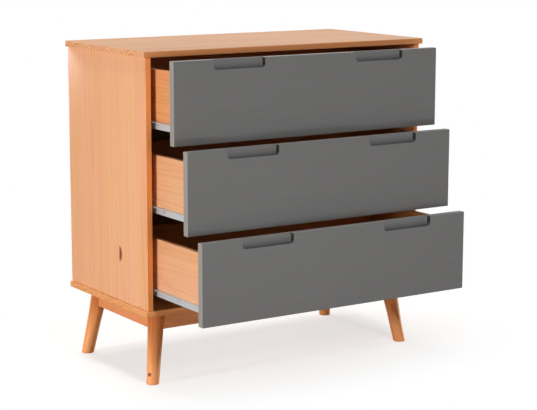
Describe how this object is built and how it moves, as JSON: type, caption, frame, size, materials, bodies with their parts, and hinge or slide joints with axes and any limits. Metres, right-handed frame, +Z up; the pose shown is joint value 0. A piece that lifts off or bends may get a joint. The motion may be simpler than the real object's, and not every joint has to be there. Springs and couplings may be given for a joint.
{
  "type": "chest of drawers",
  "caption": "Pine chest of drawers on splayed round legs, with grey lacquered fronts, finger notches and roller runners.",
  "frame": {"origin": "on the floor, midway between left and right, and midway between the face of the bottom drawer as it stands open and the back of the carcass, so the back of the chest is at y = 0.3038 m and the front edges of the side panels are at y = -0.0902 m", "axes": "+X to the right as seen from the front, +Y to the back, +Z up; the drawers slide out along -Y"},
  "size_m": [0.8, 0.6076, 0.788],
  "materials": {
    "pine": "satin honey lacquer",
    "turned_pine": "satin honey lacquer",
    "grey_lacquer": "satin grey lacquer on fibreboard",
    "plywood": "thin unstained panel",
    "zinc_sheet": "satin zinc",
    "zinc_screws": "zinc",
    "nylon": "moulded nylon",
    "beech": "bare wood"
  },
  "bodies": {
    "carcass": {"top_board": "pine", "left_side_panel": "pine", "right_side_panel": "pine", "base_board": "pine", "back_panel": "plywood", "front_apron": "turned_pine", "rear_apron": "turned_pine", "left_apron": "turned_pine", "right_apron": "turned_pine", "corner_blocks": "turned_pine", "leg_bolts": "zinc_screws", "carcass_screws": "zinc_screws", "carcass_dowels": "beech", "runner_screws": "zinc_screws", "front_left_leg": "turned_pine", "front_right_leg": "turned_pine", "rear_left_leg": "turned_pine", "rear_right_leg": "turned_pine", "bottom_left_runner": "zinc_sheet", "bottom_right_runner": "zinc_sheet", "middle_left_runner": "zinc_sheet", "middle_right_runner": "zinc_sheet", "top_left_runner": "zinc_sheet", "top_right_runner": "zinc_sheet"},
    "top_drawer": {"top_drawer_front": "grey_lacquer", "top_drawer_back": "pine", "top_drawer_bottom": "plywood", "top_drawer_fittings": "zinc_screws", "top_left_drawer_side": "pine", "top_left_drawer_rail": "zinc_sheet", "top_right_drawer_side": "pine", "top_right_drawer_rail": "zinc_sheet"},
    "top_left_front_roller": {"top_left_front_roller": "nylon"},
    "top_left_rear_roller": {"top_left_rear_roller": "nylon"},
    "top_right_front_roller": {"top_right_front_roller": "nylon"},
    "top_right_rear_roller": {"top_right_rear_roller": "nylon"},
    "middle_drawer": {"middle_drawer_front": "grey_lacquer", "middle_drawer_back": "pine", "middle_drawer_bottom": "plywood", "middle_drawer_fittings": "zinc_screws", "middle_left_drawer_side": "pine", "middle_left_drawer_rail": "zinc_sheet", "middle_right_drawer_side": "pine", "middle_right_drawer_rail": "zinc_sheet"},
    "middle_left_front_roller": {"middle_left_front_roller": "nylon"},
    "middle_left_rear_roller": {"middle_left_rear_roller": "nylon"},
    "middle_right_front_roller": {"middle_right_front_roller": "nylon"},
    "middle_right_rear_roller": {"middle_right_rear_roller": "nylon"},
    "bottom_drawer": {"bottom_drawer_front": "grey_lacquer", "bottom_drawer_back": "pine", "bottom_drawer_bottom": "plywood", "bottom_drawer_fittings": "zinc_screws", "bottom_left_drawer_side": "pine", "bottom_left_drawer_rail": "zinc_sheet", "bottom_right_drawer_side": "pine", "bottom_right_drawer_rail": "zinc_sheet"},
    "bottom_left_front_roller": {"bottom_left_front_roller": "nylon"},
    "bottom_left_rear_roller": {"bottom_left_rear_roller": "nylon"},
    "bottom_right_front_roller": {"bottom_right_front_roller": "nylon"},
    "bottom_right_rear_roller": {"bottom_right_rear_roller": "nylon"}
  },
  "joints": [
    {"name": "top_drawer_slide", "type": "slide", "parent": "carcass", "child": "top_drawer", "axis": [0, -1, 0], "range_m": [-0.0935, 0.1665]},
    {"name": "top_left_front_roller_spin", "type": "hinge", "parent": "carcass", "child": "top_left_front_roller", "pos_m": [-0.3731, -0.05825, 0.61847], "axis": [1, 0, 0], "range_deg": [-765.5, 1363]},
    {"name": "top_left_rear_roller_spin", "type": "hinge", "parent": "top_drawer", "child": "top_left_rear_roller", "pos_m": [-0.3724, 0.17225, 0.61807], "axis": [1, 0, 0], "range_deg": [-765.5, 1363]},
    {"name": "top_right_front_roller_spin", "type": "hinge", "parent": "carcass", "child": "top_right_front_roller", "pos_m": [0.3731, -0.05825, 0.61847], "axis": [1, 0, 0], "range_deg": [-765.5, 1363]},
    {"name": "top_right_rear_roller_spin", "type": "hinge", "parent": "top_drawer", "child": "top_right_rear_roller", "pos_m": [0.3724, 0.17225, 0.61807], "axis": [1, 0, 0], "range_deg": [-765.5, 1363]},
    {"name": "middle_drawer_slide", "type": "slide", "parent": "carcass", "child": "middle_drawer", "axis": [0, -1, 0], "range_m": [-0.1515, 0.1085]},
    {"name": "middle_left_front_roller_spin", "type": "hinge", "parent": "carcass", "child": "middle_left_front_roller", "pos_m": [-0.3731, -0.05825, 0.42213], "axis": [1, 0, 0], "range_deg": [-1240.2, 888.2]},
    {"name": "middle_left_rear_roller_spin", "type": "hinge", "parent": "middle_drawer", "child": "middle_left_rear_roller", "pos_m": [-0.3724, 0.11425, 0.42173], "axis": [1, 0, 0], "range_deg": [-1240.2, 888.2]},
    {"name": "middle_right_front_roller_spin", "type": "hinge", "parent": "carcass", "child": "middle_right_front_roller", "pos_m": [0.3731, -0.05825, 0.42213], "axis": [1, 0, 0], "range_deg": [-1240.2, 888.2]},
    {"name": "middle_right_rear_roller_spin", "type": "hinge", "parent": "middle_drawer", "child": "middle_right_rear_roller", "pos_m": [0.3724, 0.11425, 0.42173], "axis": [1, 0, 0], "range_deg": [-1240.2, 888.2]},
    {"name": "bottom_drawer_slide", "type": "slide", "parent": "carcass", "child": "bottom_drawer", "axis": [0, -1, 0], "range_m": [-0.2135, 0.0465]},
    {"name": "bottom_left_front_roller_spin", "type": "hinge", "parent": "carcass", "child": "bottom_left_front_roller", "pos_m": [-0.3731, -0.05825, 0.2258], "axis": [1, 0, 0], "range_deg": [-1747.7, 380.8]},
    {"name": "bottom_left_rear_roller_spin", "type": "hinge", "parent": "bottom_drawer", "child": "bottom_left_rear_roller", "pos_m": [-0.3724, 0.05225, 0.2254], "axis": [1, 0, 0], "range_deg": [-1747.7, 380.8]},
    {"name": "bottom_right_front_roller_spin", "type": "hinge", "parent": "carcass", "child": "bottom_right_front_roller", "pos_m": [0.3731, -0.05825, 0.2258], "axis": [1, 0, 0], "range_deg": [-1747.7, 380.8]},
    {"name": "bottom_right_rear_roller_spin", "type": "hinge", "parent": "bottom_drawer", "child": "bottom_right_rear_roller", "pos_m": [0.3724, 0.05225, 0.2254], "axis": [1, 0, 0], "range_deg": [-1747.7, 380.8]}
  ],
  "couplings": [
    {"joint": "top_left_front_roller_spin", "follows": "top_drawer_slide", "rad_per_m": 142.86},
    {"joint": "top_left_rear_roller_spin", "follows": "top_drawer_slide", "rad_per_m": 142.86},
    {"joint": "top_right_front_roller_spin", "follows": "top_drawer_slide", "rad_per_m": 142.86},
    {"joint": "top_right_rear_roller_spin", "follows": "top_drawer_slide", "rad_per_m": 142.86},
    {"joint": "middle_left_front_roller_spin", "follows": "middle_drawer_slide", "rad_per_m": 142.86},
    {"joint": "middle_left_rear_roller_spin", "follows": "middle_drawer_slide", "rad_per_m": 142.86},
    {"joint": "middle_right_front_roller_spin", "follows": "middle_drawer_slide", "rad_per_m": 142.86},
    {"joint": "middle_right_rear_roller_spin", "follows": "middle_drawer_slide", "rad_per_m": 142.86},
    {"joint": "bottom_left_front_roller_spin", "follows": "bottom_drawer_slide", "rad_per_m": 142.86},
    {"joint": "bottom_left_rear_roller_spin", "follows": "bottom_drawer_slide", "rad_per_m": 142.86},
    {"joint": "bottom_right_front_roller_spin", "follows": "bottom_drawer_slide", "rad_per_m": 142.86},
    {"joint": "bottom_right_rear_roller_spin", "follows": "bottom_drawer_slide", "rad_per_m": 142.86}
  ]
}
